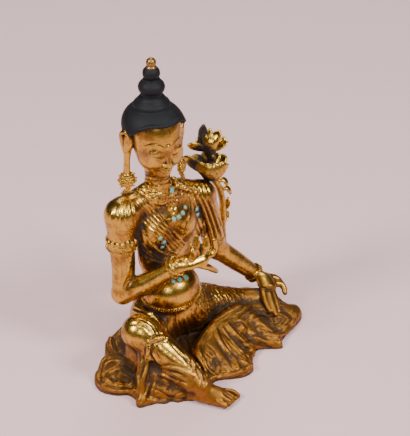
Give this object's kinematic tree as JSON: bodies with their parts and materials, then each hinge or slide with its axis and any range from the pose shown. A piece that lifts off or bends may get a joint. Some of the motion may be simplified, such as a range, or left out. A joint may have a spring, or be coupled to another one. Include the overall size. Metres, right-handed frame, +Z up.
{
  "type": "seated bodhisattva figure",
  "caption": "Small gilt copper-alloy bodhisattva seated at royal ease on a spread robe hem, with painted topknot, turquoise stones and a lotus spray at the left shoulder.",
  "frame": {"origin": "on the flat underside, below the figure's spine", "axes": "+Z up through the topknot, the figure faces -Y, its left hand is on the +X side"},
  "size_m": [0.1241, 0.0909, 0.1639],
  "materials": {
    "gilt": "fire-gilt copper alloy, polished on the high parts, dark in the recesses; the hair is painted blue-black",
    "spray_gilt": "gilt copper alloy, blackened in the hollows",
    "turquoise": "polished turquoise stone"
  },
  "bodies": {
    "root": {"figure": "gilt", "lotus_spray": "spray_gilt", "turquoise_collar": "turquoise", "turquoise_necklace_1": "turquoise", "turquoise_necklace_2": "turquoise", "turquoise_necklace_3": "turquoise", "turquoise_necklace_4": "turquoise", "turquoise_tassel_1": "turquoise", "turquoise_tassel_2": "turquoise", "turquoise_breast_1": "turquoise", "turquoise_breast_2": "turquoise", "turquoise_breast_3": "turquoise", "turquoise_girdle_1": "turquoise", "turquoise_girdle_2": "turquoise", "turquoise_girdle_3": "turquoise"}
  },
  "joints": []
}
